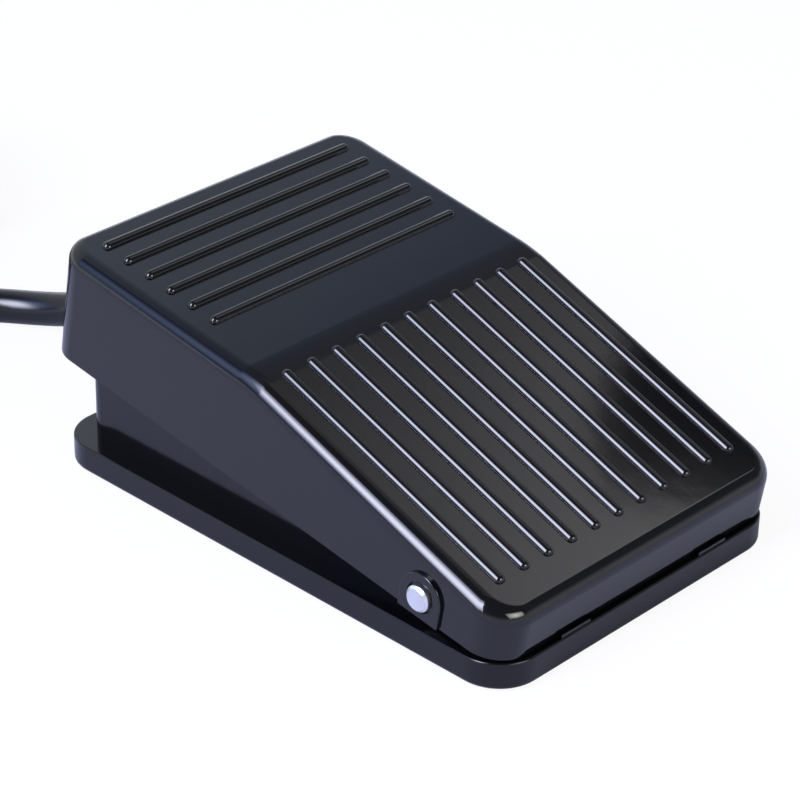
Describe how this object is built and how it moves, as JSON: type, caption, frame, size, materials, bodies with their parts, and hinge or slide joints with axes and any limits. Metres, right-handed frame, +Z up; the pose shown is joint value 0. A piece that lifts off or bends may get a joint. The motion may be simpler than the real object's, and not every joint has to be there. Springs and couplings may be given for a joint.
{
  "type": "foot switch",
  "caption": "Industrial foot switch: a ribbed pedal hinged on a flanged base, with a return spring, a snap switch inside and a coiled lead with bare ends.",
  "frame": {"origin": "the middle of the switch on the surface that it stands on, lead left out", "axes": "+Z up; +Y from the toe end to the lead; +X to the right seen from the toe end"},
  "size_m": [0.0853, 0.2418, 0.0407],
  "materials": {
    "shell_pedal": "black moulded plastic with a soft sheen",
    "shell_base": "black moulded plastic with a soft sheen",
    "foot_rubber": "soft black rubber",
    "zinc_pin": "bright zinc plating",
    "spring_steel": "oiled spring steel",
    "bright_steel": "bright plated steel",
    "white_nylon": "natural nylon",
    "switch_plastic": "fine moulded phenolic",
    "plunger_plastic": "smooth moulded plastic",
    "terminal_brass": "plain brass strip",
    "sleeve_vinyl": "soft vinyl",
    "bush_rubber": "soft black rubber",
    "lead_sheath": "soft black sheath with a dull sheen",
    "clamp_nylon": "moulded nylon",
    "core_brown": "smooth insulation",
    "core_black": "smooth insulation",
    "core_blue": "smooth insulation",
    "tie_nylon": "moulded nylon strap"
  },
  "bodies": {
    "base": {"base": "shell_base", "rubber_feet": "foot_rubber", "pivot_pin": "zinc_pin", "pin_clips": "spring_steel", "pin_washers": "white_nylon", "return_spring": "spring_steel", "switch_case": "switch_plastic", "switch_lid": "switch_plastic", "common_terminal": "terminal_brass", "open_terminal": "terminal_brass", "closed_terminal": "terminal_brass", "terminal_sleeves": "sleeve_vinyl", "switch_screws": "bright_steel", "switch_washers": "bright_steel", "switch_nuts": "bright_steel", "lead_bush": "bush_rubber", "lead_inlet": "lead_sheath", "lead_clamp": "clamp_nylon", "clamp_screws": "bright_steel", "common_wire": "core_brown", "open_wire": "core_black", "closed_wire": "core_blue", "lead": "lead_sheath", "lead_coil": "lead_sheath", "coil_ties": "tie_nylon", "lead_cores": "core_brown"},
    "pedal": {"pedal_cover": "shell_pedal"},
    "lever": {"switch_lever": "bright_steel"},
    "plunger": {"switch_plunger": "plunger_plastic"}
  },
  "joints": [
    {"name": "pedal_press", "type": "hinge", "parent": "base", "child": "pedal", "pos_m": [0, -0.0337, 0.0116], "axis": [-1, 0, 0], "range_deg": [0, 8.5], "stiffness_Nm_per_rad": 6.2, "springref_deg": -4.35, "deforming": ["return_spring"]},
    {"name": "lever_swing", "type": "hinge", "parent": "base", "child": "lever", "pos_m": [-0.013, -0.013, 0.0199], "axis": [-1, 0, 0], "range_deg": [0, 15.9]},
    {"name": "plunger_travel", "type": "slide", "parent": "base", "child": "plunger", "axis": [0, 0, -1], "range_m": [0, 0.0019]}
  ],
  "couplings": [
    {"joint": "lever_swing", "follows": "pedal_press", "ratio": 1.8695},
    {"joint": "plunger_travel", "follows": "pedal_press", "m_per_rad": 0.0127}
  ]
}
